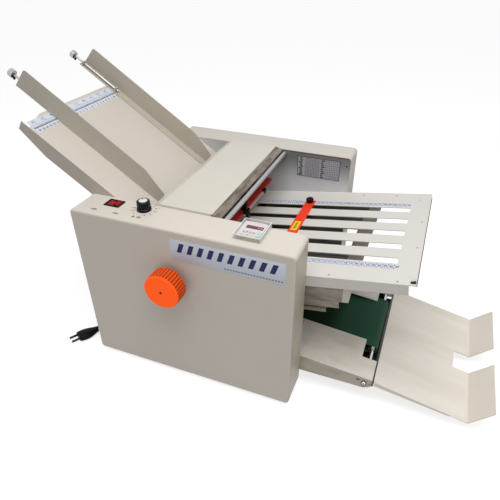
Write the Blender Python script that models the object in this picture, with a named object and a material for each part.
"""Desk paper folding machine with a sloping feed tray, slotted buckle plates and a belt exit.

The paper runs towards +X. The origin is under the middle of the machine, on the surface it
stands on. Every length is in metres.
"""

import math

import bmesh
import bpy
from mathutils import Vector

for leftover in list(bpy.data.objects):
    bpy.data.objects.remove(leftover, do_unlink=True)

# Clearances and cutting allowances
FIT = 0.0003
OVERRUN = 0.002
TINY = 0.000001
RELIEF = 0.003

# Casings and the plates that carry the rollers
MACHINE_WIDTH = 0.490
CASE_LENGTH = 0.440
CASE_HEIGHT = 0.3508
CASE_DEPTH = 0.0702
CASE_CORNER = 0.008
CASE_EDGE = 0.004
CASE_SHEET = 0.0015
SIDE_PLATE_GAUGE = 0.003
FOOT_HEIGHT = 0.008
FOOT_RADIUS = 0.011
FOOT_TAPER = 0.002
FOOT_INSET = 0.030
BASE_GAUGE = 0.002
BASE_RISE = 0.002
BASE_INSET = 0.010
BASE_REAR_FOLD = 0.040
BASE_FRONT_FOLD = 0.020
BEND = 0.0025

# Fold rollers, their gears and the drive
ROLLER_COUNT = 6
ROLLER_RADIUS = 0.017
ROLLER_NIP = 0.0006
ROLLER_END_GAP = 0.003
ROLLER_SHAFT_RADIUS = 0.005
ROLLER_SHAFT_TAIL = 0.006
WHEEL_X = -0.013
WHEEL_DROP = 0.1068
GEAR_TEETH = 20
GEAR_WIDTH = 0.010
GEAR_OFFSET = 0.003
GEAR_SHAFT_TAIL = 0.003
TOOTH_TIP_SHARE = 0.80
TOOTH_ROOT_SHARE = 1.15
TOOTH_WIDTH_SHARES = (0.29, 0.12)
MOTOR_TEETH = 30
MOTOR_ANGLE = math.radians(225.0)
MOTOR_RADIUS = 0.025
MOTOR_LENGTH = 0.110
MOTOR_BELL_RADIUS = 0.021
MOTOR_BELL_LENGTH = 0.014
MOTOR_BAND_DEPTH = 0.0015
MOTOR_SHAFT_RADIUS = 0.004
FEED_ROLLER_RADIUS = 0.022
FEED_ROLLER_BITE = 0.0045
FEED_ROLLER_LEAD = 0.0338
FEED_TYRE_WIDTH = 0.036
FEED_TYRE_PITCH = 0.090
FEED_TYRE_COUNT = 3
FEED_SHAFT_RADIUS = 0.006
WHEEL_RADIUS = 0.035
WHEEL_RIBS = 36
WHEEL_RIB_DEPTH = 0.0009
WHEEL_FRONT = 0.042
WHEEL_WIDTH = 0.031
WHEEL_EDGE = 0.0025
WHEEL_HUB_RADIUS = 0.012
WHEEL_HUB_GAP = 0.0015
WHEEL_WEB = 0.006
WHEEL_SCREW_HOLE_RADIUS = 0.0015
WHEEL_BOLT_CLEARANCE = 0.0012

# Bridge cover over the rollers and the bars beside it
BRIDGE_LEFT = -0.068
BRIDGE_RIGHT = 0.040
BRIDGE_RISE = 0.0042
BRIDGE_GAUGE = 0.0015
BRIDGE_LEFT_LIP_RUN = 0.018
BRIDGE_LEFT_LIP_DROP = 0.0095
BRIDGE_RIGHT_LIP_RUN = 0.0165
BRIDGE_RIGHT_LIP_DROP = 0.007
BRIDGE_FLANGE = 0.022
CROSS_BAR_X = 0.063
CROSS_BAR_DROP = 0.0088
CROSS_BAR_RADIUS = 0.00475
CROSS_BAR_CHAMFER = 0.0008
GATE_BAR_X = 0.022
GATE_BAR_DROP = 0.0828
GATE_BAR_WIDTH = 0.020
GATE_BAR_THICKNESS = 0.005
GATE_BAR_EDGE = 0.001
GATE_KNOB_X = 0.027
GATE_KNOB_Y = 0.005
GATE_KNOB_RADIUS = 0.0088
GATE_KNOB_HEIGHT = 0.038
GATE_KNOB_WAIST_SHARES = ((0.0, 0.72), (0.16, 0.72), (0.22, 1.0), (0.94, 1.0), (1.0, 0.86))
GATE_KNOB_FLUTES = 8
GATE_KNOB_FLUTE_SHARE = 0.86
GATE_STUD_RADIUS = 0.003
GATE_STUD_DROP = 0.004

# Feed tray, its side guides and their clamp rods
TRAY_FOOT_X = -0.1020
TRAY_FOOT_DROP = 0.0440
TRAY_SLOPE = math.radians(34.0)
TRAY_LENGTH = 0.3053
TRAY_GAUGE = 0.0015
TRAY_FLANGE_END = 0.019
TRAY_FLANGE = 0.033
TRAY_FLANGE_TAPER = 0.070
TRAY_CUT_LENGTH = 0.0065
TRAY_CUT_WIDTH = 0.0485
TRAY_CUT_SLANT = 0.016
TRAY_SLIT_LENGTH = 0.018
TRAY_SLIT_WIDTH = 0.008
TRAY_END_FLANGE = 0.018
SEPARATOR_LENGTH = 0.044
SEPARATOR_WIDTH = 0.060
SEPARATOR_HEIGHT = 0.011
SEPARATOR_LOW_SHARE = 0.55
GUIDE_GAP = 0.213
GUIDE_CENTRE_Y = 0.0047
GUIDE_GAUGE = 0.0015
GUIDE_START = -0.078
GUIDE_KNEE_RUN = 0.0746
GUIDE_FOOT_INSET = 0.0173
GUIDE_START_SLANT = 0.0064
GUIDE_END_SLANT = 0.003
GUIDE_START_HEIGHT = 0.0425
GUIDE_NOSE = 0.0045
GUIDE_NOSE_SHARES = ((0.0, 1.0), (0.29, 0.29), (1.0, 0.0))
GUIDE_KNEE_HEIGHT = 0.0418
GUIDE_END_HEIGHT = 0.023
GUIDE_FOOT_WIDTH = 0.018
ROD_RADIUS = 0.0025
ROD_INSET = 0.0118
ROD_LIFT = 0.0045
ROD_START = -0.098
ROD_END = 0.030
ROD_HEAD_RADIUS = 0.009
ROD_HEAD_LENGTH = 0.010
ROD_HEAD_CHAMFER = 0.0012
ROD_HEAD_RIBS = 14
ROD_HEAD_RIB_DEPTH = 0.0005
ROD_HUB_RADIUS = 0.004
ROD_HUB_DEPTH = 0.0012
ROD_TAB_LENGTH = 0.003
ROD_TAB_WIDTH = 0.004
ROD_TAB_DROP = 0.009
EYE_STARTS = (-0.074, 0.020)
EYE_LENGTH = 0.004
EYE_WALL = 0.0022

# Buckle plates. Places along them are measured from PLATE_X on the line of the top plate
PLATE_X = 0.2216
PLATE_DROP = 0.0831
PLATE_SLOPE = math.radians(8.868)
PLATE_GAUGE = 0.0015
PLATE_END = 0.1837
PLATE_MOUTH_X = 0.0085
PLATE_LIP = 0.009
PLATE_FLANGE_MOUTH = 0.0246
PLATE_FLANGE_END = 0.0207
PLATE_FLANGE_STOP = 0.172
SLOT_COUNT = 5
SLOT_PITCH = 0.0493
SLOT_WIDTH = 0.0186
SLOT_CENTRE_Y = -0.0044
SLOT_START = -0.201
SLOT_END = 0.146
LOWER_DROP = 0.016
LOWER_END = 0.081
LOWER_STRIP = 0.0316
LOWER_CHEEK_END_TOP = 0.0795
LOWER_CHEEK_END_BASE = 0.0705
LOWER_CHEEK_BASE = 0.0522
LOWER_WINDOW_START = -0.190
LOWER_WINDOW_EDGES = (-0.150, -0.105, -0.040, 0.040, 0.105, 0.150)
THIRD_WINDOW_START = -0.190
THIRD_WINDOW_EDGES = (-0.125, -0.020, 0.020, 0.125)
THIRD_UPPER_TOP = 0.0528
THIRD_UPPER_FLANGE = 0.0122
THIRD_UPPER_END = 0.053
THIRD_UPPER_STRIP = 0.0165
THIRD_LOWER_TOP = 0.0695
THIRD_LOWER_FLANGE = 0.0075
THIRD_LOWER_END = 0.0285
REAR_PLATE_LENGTH = 0.202
REAR_PLATE_GAP = 0.012
REAR_PLATE_MOUTH_GAP = 0.004
REAR_PLATE_LIP = 0.006

# Stop bar on the top plate and its two knobs
STOP_PLACE = -0.0745
STOP_LENGTH = 0.022
STOP_THICKNESS = 0.003
STOP_NEAR_Y = -0.120
STOP_FAR_Y = 0.120
STOP_EDGE = 0.0008
FINGER_LENGTH = 0.003
FINGER_WIDTH = 0.012
FINGER_DROP = 0.012
STOP_KNOB_RADIUS = 0.0088
STOP_KNOB_HEIGHT = 0.010
STOP_KNOB_LOBES = 6
STOP_KNOB_LOBE_SHARE = 0.84
STOP_KNOB_INSET = 0.010
STOP_STUD_RADIUS = 0.0025
STOP_STUD_DROP = 0.0026

# Exit deck, belt and tray
DECK_X = 0.2214
DECK_Z = 0.0758
DECK_SLOPE = math.radians(5.7)
DECK_GAUGE = 0.0015
DECK_TAIL = 0.202
DECK_OPENING_TAIL = 0.190
DECK_NOTCH_START = 0.1145
DECK_CORNER_START = 0.132
DECK_END = 0.1446
DECK_FLANGE_START = 0.060
DECK_FLANGE_CORNER = 0.0262
DECK_FLANGE_END = 0.018
DECK_OPENING_HALF = 0.068
DECK_NOTCH_HALF = 0.120
PAN_START = 0.240
PAN_CORNER = 0.350
PAN_END = 0.366
PAN_Z = 0.0368
AXLE_X = 0.3504
AXLE_Z = 0.0523
AXLE_RADIUS = 0.004
AXLE_HEAD_RADIUS = 0.006
AXLE_HEAD_LENGTH = 0.003
BELT_ROLLER_RADIUS = 0.009
BELT_GAUGE = 0.0012
BELT_HALF = 0.081
BELT_ROLLER_HALF = 0.080
INNER_ROLLER_X = 0.050
INNER_ROLLER_Z = 0.050
INNER_SHAFT_RADIUS = 0.004
INNER_SHAFT_TAIL = 0.0008
EXIT_TRAY_X = 0.3682
EXIT_TRAY_Z = 0.0582
EXIT_TRAY_SLOPE = math.radians(11.75)
EXIT_TRAY_LENGTH = 0.1812
EXIT_TRAY_NEAR_Y = -0.1734
EXIT_TRAY_FAR_Y = 0.1325
EXIT_TRAY_GAUGE = 0.0015
EXIT_NOTCH_START = 0.1486
EXIT_NOTCH_NEAR_Y = -0.0436
EXIT_NOTCH_FAR_Y = 0.005
LUG_LENGTH = 0.0555
LUG_RISE = math.radians(58.05)
LUG_TAPER = 0.003
EXIT_FLANGE_START = 0.0028
EXIT_FLANGE_DEEP = 0.010
EXIT_FLANGE_SHALLOW = 0.002
EAR_Y = 0.1178
EAR_GAUGE = 0.0015
EAR_RADIUS = 0.007
EAR_REACH = 0.030
EAR_DROP = 0.008

# Switch, speed knob and counter on the front casing's top
SWITCH_INSET_X = 0.068
SWITCH_INSET_Y = 0.0483
SWITCH_BEZEL_LENGTH = 0.0325
SWITCH_BEZEL_WIDTH = 0.0245
SWITCH_BEZEL_HEIGHT = 0.0015
SWITCH_BODY_LENGTH = 0.0295
SWITCH_BODY_WIDTH = 0.0215
SWITCH_BODY_DEPTH = 0.015
ROCKER_RADIUS = 0.0128
ROCKER_WIDTH = 0.0165
ROCKER_WAIST = 0.0048
ROCKER_DROP = 0.005
ROCKER_TILT = math.radians(-12.0)
ROCKER_TOP_ANGLE = math.radians(45.0)
ROCKER_LOW_ANGLE = math.radians(-24.0)
SPEED_KNOB_INSET_X = 0.133
SPEED_KNOB_INSET_Y = 0.048
SPEED_KNOB_RADIUS = 0.0135
SPEED_KNOB_HEIGHT = 0.019
SPEED_KNOB_TOP_RADIUS = 0.0118
SPEED_KNOB_BAND = 0.004
SPEED_KNOB_EDGE = 0.0012
SPEED_KNOB_RIBS = 16
SPEED_KNOB_RIB_DEPTH = 0.0006
SPEED_SHAFT_RADIUS = 0.003
SPEED_SHAFT_DROP = 0.008
COUNTER_INSET_X = 0.0915
COUNTER_INSET_Y = 0.0445
COUNTER_LENGTH = 0.049
COUNTER_WIDTH = 0.0570
COUNTER_HEIGHT = 0.0095
COUNTER_SLANT = 0.0006
COUNTER_RIM = 0.0018
COUNTER_BODY_HEIGHT = 0.0056
DISPLAY_LENGTH = 0.031
DISPLAY_WIDTH = 0.0104
DISPLAY_DEPTH = 0.001
DISPLAY_X = 0.0010
DISPLAY_Y = 0.0084
KEY_COUNT = 4
KEY_START_X = -0.0150
KEY_PITCH = 0.0060
KEY_Y = -0.0120
KEY_LENGTH = 0.0050
KEY_WIDTH = 0.0116
KEY_RISE = 0.0012
KEY_POCKET = 0.0030
KEY_EDGE = 0.0004
RESET_X = 0.0162
RESET_Y = -0.0128
RESET_LENGTH = 0.0085
RESET_WIDTH = 0.0150

# Mains lead
CORD_RADIUS = 0.0035
CORD_STEP = 0.016
CORD_STRAIGHT = 0.010
GLAND_Y = -0.125
GLAND_Z = 0.034
GLAND_RADIUS = 0.0065
GLAND_FLANGE_RADIUS = 0.010
GLAND_FLANGE_LENGTH = 0.003
GLAND_LENGTH = 0.030
GLAND_TIP_RADIUS = 0.0048
GLAND_NUT_LENGTH = 0.006
COIL_X = -0.310
COIL_Y = -0.015
COIL_INNER_RADIUS = 0.0308
COIL_PITCH = 0.0078
COIL_HALF_TURNS = 2.25
COIL_SOFT_SHARE = 0.10
COIL_CLIMB_SHARE = 0.25
COIL_POINTS = 24
TIE_GAUGE = 0.0010
LEAD_TURNS = (
    (-0.268, GLAND_Y, 0.0300),
    (-0.290, -0.1255, 0.0160),
    (-0.312, -0.1240, 0.0070),
    (-0.333, -0.1130, 0.0050),
    (-0.3490, -0.0930, 0.0051),
    (-0.3570, -0.0640, 0.0053),
)
TAIL_TURNS = (
    (-0.2620, -0.0600, 0.0078),
    (-0.2570, -0.0900, 0.0036),
    (-0.2480, -0.1220, 0.0036),
    (-0.2440, -0.1500, 0.0040),
    (-0.2500, -0.1740, 0.0068),
)
TIE_WIDTH = 0.009
TIE_ANGLE = math.radians(90.0)
TIE_SLACK = 0.0008
PLUG_X = -0.2655
PLUG_Y = -0.2015
PLUG_HEADING = math.radians(239.5)
PLUG_LENGTH = 0.034
PLUG_WIDTH = 0.026
PLUG_HEIGHT = 0.019
PLUG_TAIL_LENGTH = 0.012
PLUG_TAIL_RADIUS = 0.0055
PLUG_NECK_SHARE = 0.62
PLUG_CORNER_STEPS = 4
BLADE_LENGTH = 0.016
BLADE_WIDTH = 0.0063
BLADE_THICKNESS = 0.0016
BLADE_SPACING = 0.0127
BLADE_EDGE = 0.0005

# Counts of facets
ROUND_STEPS = 24
SMALL_STEPS = 16
CORNER_STEPS = 4
SMOOTH_ANGLE = math.radians(35.0)
FOLD_ANGLE = math.radians(30.0)
RIM_ANGLE = math.radians(60.0)

# Places that follow from the sizes above
CHANNEL_HALF = MACHINE_WIDTH / 2 - CASE_DEPTH
SPAN_HALF = CHANNEL_HALF - FIT
CASE_TOP = FOOT_HEIGHT + CASE_HEIGHT
WHEEL_Z = CASE_TOP - WHEEL_DROP
PLATE_Z = CASE_TOP - PLATE_DROP
TRAY_TOP_X = TRAY_FOOT_X - TRAY_LENGTH * math.cos(TRAY_SLOPE)
TRAY_TOP_Z = CASE_TOP - TRAY_FOOT_DROP + TRAY_LENGTH * math.sin(TRAY_SLOPE)
GUIDE_KNEE = TRAY_LENGTH - GUIDE_KNEE_RUN
GUIDE_END = TRAY_LENGTH - GUIDE_FOOT_INSET
SWITCH_X = SWITCH_INSET_X - CASE_LENGTH / 2
SWITCH_Y = SWITCH_INSET_Y - MACHINE_WIDTH / 2
SPEED_KNOB_X = SPEED_KNOB_INSET_X - CASE_LENGTH / 2
SPEED_KNOB_Y = SPEED_KNOB_INSET_Y - MACHINE_WIDTH / 2
COUNTER_X = CASE_LENGTH / 2 - COUNTER_INSET_X
COUNTER_Y = COUNTER_INSET_Y - MACHINE_WIDTH / 2
ROLLER_SPACING = 2 * ROLLER_RADIUS + ROLLER_NIP
ROLLER_STEP = ROLLER_SPACING / math.sqrt(2)
MODULE = ROLLER_SPACING / GEAR_TEETH
GEAR_INNER_Y = -(CHANNEL_HALF + SIDE_PLATE_GAUGE + GEAR_OFFSET)
GEAR_OUTER_Y = GEAR_INNER_Y - GEAR_WIDTH
COIL_Z = CORD_RADIUS + TIE_GAUGE + TIE_SLACK


def painted(name, colour, roughness, metallic):
    """A material with one colour, roughness and metallic value."""
    material = bpy.data.materials.new(name)
    material.use_nodes = True
    shader = material.node_tree.nodes["Principled BSDF"]
    shader.inputs["Base Color"].default_value = (*colour, 1.0)
    shader.inputs["Roughness"].default_value = roughness
    shader.inputs["Metallic"].default_value = metallic
    return material


ENAMEL = painted("warm_grey_enamel", (0.70, 0.66, 0.59), 0.45, 0.0)
ZINC = painted("zinc_plate", (0.42, 0.43, 0.43), 0.40, 0.9)
STEEL = painted("bright_steel", (0.62, 0.62, 0.62), 0.25, 1.0)
DARK_STEEL = painted("dark_steel", (0.10, 0.10, 0.11), 0.35, 0.9)
ORANGE_PAINT = painted("orange_paint", (0.80, 0.12, 0.04), 0.40, 0.0)
ORANGE_PLASTIC = painted("orange_plastic", (0.95, 0.20, 0.03), 0.40, 0.0)
BLACK_PLASTIC = painted("black_plastic", (0.02, 0.02, 0.02), 0.40, 0.0)
RED_PLASTIC = painted("red_plastic", (0.35, 0.01, 0.01), 0.30, 0.0)
WHITE_PLASTIC = painted("white_plastic", (0.80, 0.80, 0.78), 0.40, 0.0)
CLEAR_PLASTIC = painted("clear_plastic", (0.85, 0.87, 0.88), 0.15, 0.0)
BEIGE_PLASTIC = painted("beige_plastic", (0.65, 0.58, 0.45), 0.50, 0.0)
GREEN_BELT = painted("green_belt", (0.01, 0.05, 0.03), 0.60, 0.0)
ROLLER_RUBBER = painted("grey_rubber", (0.06, 0.06, 0.06), 0.70, 0.0)
BLACK_RUBBER = painted("black_rubber", (0.02, 0.02, 0.02), 0.70, 0.0)


def add_object(name, bm, material, parent=None, place=(0, 0, 0)):
    """Turns a bmesh into an object, smooth where its faces meet at a shallow angle."""
    mesh = bpy.data.meshes.new(name)
    bm.to_mesh(mesh)
    bm.free()
    mesh.materials.append(material)
    mesh.shade_smooth()
    mesh.set_sharp_from_angle(angle=SMOOTH_ANGLE)
    body = bpy.data.objects.new(name, mesh)
    bpy.context.scene.collection.objects.link(body)
    body.parent = parent
    body.location = place
    return body


def add_frame(name, place, tilt=0.0):
    """An empty that carries pieces which share one slope about the machine's width."""
    frame = bpy.data.objects.new(name, None)
    bpy.context.scene.collection.objects.link(frame)
    frame.location = place
    frame.rotation_euler = (0, tilt, 0)
    return frame


def as_tool(body):
    """Keeps a cutting or joining shape out of the finished model."""
    body.hide_render = True
    body.display_type = "WIRE"
    return body


def combine(body, tool, operation):
    """Cuts a tool from a body, or joins it on."""
    step = body.modifiers.new(operation.lower(), "BOOLEAN")
    step.operation = operation
    step.solver = "EXACT"
    step.object = as_tool(tool)


def bend_edges(body, width, angle, segments=2):
    """Rounds every edge sharper than the angle."""
    step = body.modifiers.new("bend", "BEVEL")
    step.limit_method = "ANGLE"
    step.angle_limit = angle
    step.width = width
    step.segments = segments


def give_gauge(body, gauge):
    """Thickens a surface into sheet, behind the side its faces point to."""
    step = body.modifiers.new("gauge", "SOLIDIFY")
    step.thickness = gauge
    step.offset = -1
    step.use_even_offset = True


def loft(rings, closed=False):
    """Skins a row of rings with equal point counts, capped at both ends or joined round."""
    bm = bmesh.new()
    rows = [[bm.verts.new(point) for point in ring] for ring in rings]
    count = len(rings[0])
    pairs = list(zip(rows, rows[1:]))
    if closed:
        pairs.append((rows[-1], rows[0]))
    for first, second in pairs:
        for index in range(count):
            after = (index + 1) % count
            bm.faces.new((first[index], first[after], second[after], second[index]))
    if not closed:
        bm.faces.new(rows[0])
        bm.faces.new(rows[-1])
    bmesh.ops.recalc_face_normals(bm, faces=bm.faces)
    return bm


def circle(radius, steps, start=0.0):
    """Points of a circle as pairs."""
    angles = [start + math.tau * index / steps for index in range(steps)]
    return [(radius * math.cos(angle), radius * math.sin(angle)) for angle in angles]


def ribbed_circle(radius, ribs, depth):
    """A circle whose points go in and out once for each rib."""
    points = []
    for index in range(2 * ribs):
        reach = radius if index % 2 else radius - depth
        angle = math.tau * index / (2 * ribs)
        points.append((reach * math.cos(angle), reach * math.sin(angle)))
    return points


def rounded_rectangle(length, width, corner, steps):
    """Points of a rectangle with round corners, centred on zero."""
    points = []
    for turn, (sign_x, sign_y) in enumerate(((1, 1), (-1, 1), (-1, -1), (1, -1))):
        centre_x = sign_x * (length / 2 - corner)
        centre_y = sign_y * (width / 2 - corner)
        for index in range(steps + 1):
            angle = math.pi / 2 * (turn + index / steps)
            points.append((centre_x + corner * math.cos(angle), centre_y + corner * math.sin(angle)))
    return points


def rectangle(length, width):
    """The four corners of a rectangle centred on zero."""
    x, y = length / 2, width / 2
    return [(x, y), (-x, y), (-x, -y), (x, -y)]


def along_x(points, place):
    """Puts outline pairs on a plane across X."""
    return [(place, across, height) for across, height in points]


def along_y(points, place):
    """Puts outline pairs on a plane across Y."""
    return [(length, place, height) for length, height in points]


def along_z(points, place):
    """Puts outline pairs on a plane across Z."""
    return [(length, across, place) for length, across in points]


def turned(profile, steps, put):
    """A round piece from pairs of place and radius along its axis."""
    return loft([put(circle(radius, steps), place) for place, radius in profile])


def sleeve_between(outer, inner, half):
    """A body with a hole right through it along Y, between two outlines."""
    rings = (along_y(outer, -half), along_y(outer, half), along_y(inner, half), along_y(inner, -half))
    return loft(rings, closed=True)


def rod_tool(name, radius, start, end, put, place, parent=None):
    """A cutting cylinder between two places along its axis."""
    bm = turned(((start, radius), (end, radius)), SMALL_STEPS, put)
    return add_object(name, bm, ZINC, parent, place)


def box(length, width, height, edge=0.0):
    """A block centred on zero with softened edges."""
    bm = bmesh.new()
    bmesh.ops.create_cube(bm, size=1.0)
    bmesh.ops.scale(bm, vec=(length, width, height), verts=bm.verts)
    if edge:
        bmesh.ops.bevel(bm, geom=bm.edges, offset=edge, segments=1, profile=0.5, affect="EDGES")
    return bm


def moved(bm, x, y, z):
    """Shifts a bmesh."""
    bmesh.ops.translate(bm, vec=(x, y, z), verts=bm.verts)
    return bm


def grid_sheet(columns, rows, is_open=None):
    """A flat surface of cells between grid lines, with some cells left open."""
    bm = bmesh.new()
    points = [[bm.verts.new((x, y, 0)) for y in rows] for x in columns]
    for i in range(len(columns) - 1):
        for j in range(len(rows) - 1):
            if is_open is None or not is_open(i, j):
                bm.faces.new((points[i][j], points[i + 1][j], points[i + 1][j + 1], points[i][j + 1]))
    bmesh.ops.delete(bm, geom=[vert for vert in bm.verts if not vert.link_faces], context="VERTS")
    return bm


def rim(bm, test):
    """The boundary edges whose two ends both pass the test."""
    return [edge for edge in bm.edges if edge.is_boundary and all(test(vert.co) for vert in edge.verts)]


def fold(bm, edges, shift):
    """Extrudes a rim and moves each new corner by shift(corner), and returns the new rim."""
    grown = bmesh.ops.extrude_edge_only(bm, edges=edges)["geom"]
    corners = {item for item in grown if isinstance(item, bmesh.types.BMVert)}
    for corner in corners:
        corner.co += Vector(shift(corner.co))
    return [item for item in grown if isinstance(item, bmesh.types.BMEdge) and set(item.verts) <= corners]


def face_up(bm):
    """Makes a sheet's faces agree, with its flat part facing up."""
    bmesh.ops.recalc_face_normals(bm, faces=bm.faces)
    flattest = max(bm.faces, key=lambda face: abs(face.normal.z) * face.calc_area())
    if flattest.normal.z < 0:
        bmesh.ops.reverse_faces(bm, faces=bm.faces)
    return bm


def at_x(place):
    """A test for corners on a line across the sheet."""
    return lambda corner: abs(corner.x - place) < TINY


def at_side(half, start, end):
    """A test for corners on both side edges of a sheet between two places."""
    return lambda corner: abs(abs(corner.y) - half) < TINY and start - TINY < corner.x < end + TINY


def between(place, table):
    """Reads a value from a table of places and values by straight lines."""
    if place <= table[0][0]:
        return table[0][1]
    for (start, low), (end, high) in zip(table, table[1:]):
        if place <= end:
            return low + (high - low) * (place - start) / (end - start)
    return table[-1][1]


def add_cover(name, side):
    """A folded steel casing, open on the side that faces the paper path."""
    outline = rounded_rectangle(CASE_LENGTH, CASE_HEIGHT, CASE_CORNER, CORNER_STEPS)
    bm = bmesh.new()
    outer = [bm.verts.new(point) for point in along_y(outline, side * MACHINE_WIDTH / 2)]
    inner = [bm.verts.new(point) for point in along_y(outline, side * CHANNEL_HALF)]
    face = bm.faces.new(outer)
    count = len(outline)
    for index in range(count):
        after = (index + 1) % count
        bm.faces.new((outer[index], inner[index], inner[after], outer[after]))
    bmesh.ops.recalc_face_normals(bm, faces=bm.faces)
    face.normal_update()
    if face.normal.y * side < 0:
        bmesh.ops.reverse_faces(bm, faces=bm.faces)
    cover = add_object(name, bm, ENAMEL, place=(0, 0, FOOT_HEIGHT + CASE_HEIGHT / 2))
    bend_edges(cover, CASE_EDGE, RIM_ANGLE, 3)
    give_gauge(cover, CASE_SHEET)
    return cover


def add_side_plate(name, side):
    """The plate set into a casing's open side, with the holes for the shafts."""
    inset = CASE_SHEET + FIT
    length, height = CASE_LENGTH - 2 * inset, CASE_HEIGHT - 2 * inset
    outline = rounded_rectangle(length, height, CASE_CORNER - inset, CORNER_STEPS)
    ends = (side * CHANNEL_HALF, side * (CHANNEL_HALF + SIDE_PLATE_GAUGE))
    bm = loft([along_y(outline, end) for end in ends])
    plate = add_object(name, bm, ZINC, place=(0, 0, FOOT_HEIGHT + CASE_HEIGHT / 2))
    start = side * (CHANNEL_HALF - OVERRUN)
    end = side * (CHANNEL_HALF + SIDE_PLATE_GAUGE + OVERRUN)
    shafts = [(x, z, ROLLER_SHAFT_RADIUS) for x, z in ROLLER_PLACES]
    shafts.append((FEED_ROLLER_X, FEED_ROLLER_Z, FEED_SHAFT_RADIUS))
    if side < 0:
        shafts.append((MOTOR_X, MOTOR_Z, MOTOR_SHAFT_RADIUS))
    for index, (x, z, radius) in enumerate(shafts):
        tool = rod_tool(f"{name}_hole_{index + 1}", radius + FIT, start, end, along_y, (x, 0, z))
        combine(plate, tool, "DIFFERENCE")
    return plate


def add_base():
    """The folded pan that ties the two casings together underneath."""
    half = CASE_LENGTH / 2 - BASE_INSET
    bm = grid_sheet((-half, half), (-SPAN_HALF, SPAN_HALF))
    fold(bm, rim(bm, at_x(-half)), lambda corner: (0, 0, BASE_REAR_FOLD))
    fold(bm, rim(bm, at_x(half)), lambda corner: (0, 0, BASE_FRONT_FOLD))
    top = FOOT_HEIGHT + BASE_RISE + BASE_GAUGE
    base = add_object("base_plate", face_up(bm), ENAMEL, place=(0, 0, top))
    bend_edges(base, BEND, FOLD_ANGLE)
    give_gauge(base, BASE_GAUGE)
    start = -half - BASE_GAUGE - OVERRUN
    tool = rod_tool("gland_hole", GLAND_RADIUS + FIT, start, OVERRUN - half, along_x, (0, GLAND_Y, GLAND_Z))
    combine(base, tool, "DIFFERENCE")


def add_foot(name, x, y):
    """A tapered rubber foot."""
    profile = ((0, FOOT_RADIUS - FOOT_TAPER), (FOOT_HEIGHT - FIT, FOOT_RADIUS))
    add_object(name, turned(profile, SMALL_STEPS, along_z), BLACK_RUBBER, place=(x, y, 0))


def add_feet():
    """Four feet under the middle of each casing's depth."""
    x = CASE_LENGTH / 2 - FOOT_INSET
    y = MACHINE_WIDTH / 2 - CASE_DEPTH / 2
    add_foot("foot_front_left", -x, -y)
    add_foot("foot_front_right", x, -y)
    add_foot("foot_rear_left", -x, y)
    add_foot("foot_rear_right", x, y)


def gear_outline(teeth, phase):
    """The outline of a spur gear with straight sided teeth."""
    pitch_radius = MODULE * teeth / 2
    tip = pitch_radius + TOOTH_TIP_SHARE * MODULE
    root = pitch_radius - TOOTH_ROOT_SHARE * MODULE
    pitch = math.tau / teeth
    low, high = TOOTH_WIDTH_SHARES
    corners = ((-low, root), (-high, tip), (high, tip), (low, root))
    points = []
    for index in range(teeth):
        for share, reach in corners:
            angle = phase + pitch * (index + share)
            points.append((reach * math.cos(angle), reach * math.sin(angle)))
    return points


def next_phase(phase, teeth, other_teeth, heading):
    """The turn of a gear whose gap meets a tooth of the gear before it, along a heading."""
    share = (heading - phase) * teeth / math.tau
    return heading + math.pi - math.tau / other_teeth * (1 / 2 - share)


def add_geared(name, profile, steps, material, teeth, phase, place):
    """A turned shaft with a gear joined on inside the front casing."""
    body = add_object(name, turned(profile, steps, along_y), material, place=place)
    outline = gear_outline(teeth, phase)
    teeth_body = loft([along_y(outline, GEAR_INNER_Y), along_y(outline, GEAR_OUTER_Y)])
    gear = add_object(f"{name}_gear", teeth_body, material)
    gear.location = place
    combine(body, gear, "UNION")
    return body


def add_rollers():
    """Six fold rollers in a zigzag, geared together, and the gear of the motor below them."""
    half = CHANNEL_HALF - ROLLER_END_GAP
    rear_end = CHANNEL_HALF + SIDE_PLATE_GAUGE + ROLLER_SHAFT_TAIL
    phase = 0.0
    headings = (math.radians(225.0), math.radians(315.0))
    for index, (x, z) in enumerate(ROLLER_PLACES):
        front_end = GEAR_OUTER_Y - GEAR_SHAFT_TAIL
        if index == 0:
            front_end = -(MACHINE_WIDTH / 2 + WHEEL_FRONT - WHEEL_WEB - WHEEL_BOLT_CLEARANCE)
        profile = (
            (rear_end, ROLLER_SHAFT_RADIUS),
            (half, ROLLER_SHAFT_RADIUS),
            (half, ROLLER_RADIUS),
            (-half, ROLLER_RADIUS),
            (-half, ROLLER_SHAFT_RADIUS),
            (front_end, ROLLER_SHAFT_RADIUS),
        )
        name = f"fold_roller_{index + 1}"
        add_geared(name, profile, ROUND_STEPS, ROLLER_RUBBER, GEAR_TEETH, phase, (x, 0, z))
        if index + 1 < ROLLER_COUNT:
            phase = next_phase(phase, GEAR_TEETH, GEAR_TEETH, headings[index % 2])
    phase = next_phase(phase, GEAR_TEETH, MOTOR_TEETH, MOTOR_ANGLE)
    ends = (FIT - CHANNEL_HALF, GEAR_OUTER_Y - GEAR_SHAFT_TAIL)
    profile = [(end, MOTOR_SHAFT_RADIUS) for end in ends]
    place = (MOTOR_X, 0, MOTOR_Z)
    add_geared("motor_gear", profile, SMALL_STEPS, DARK_STEEL, MOTOR_TEETH, phase, place)


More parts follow.
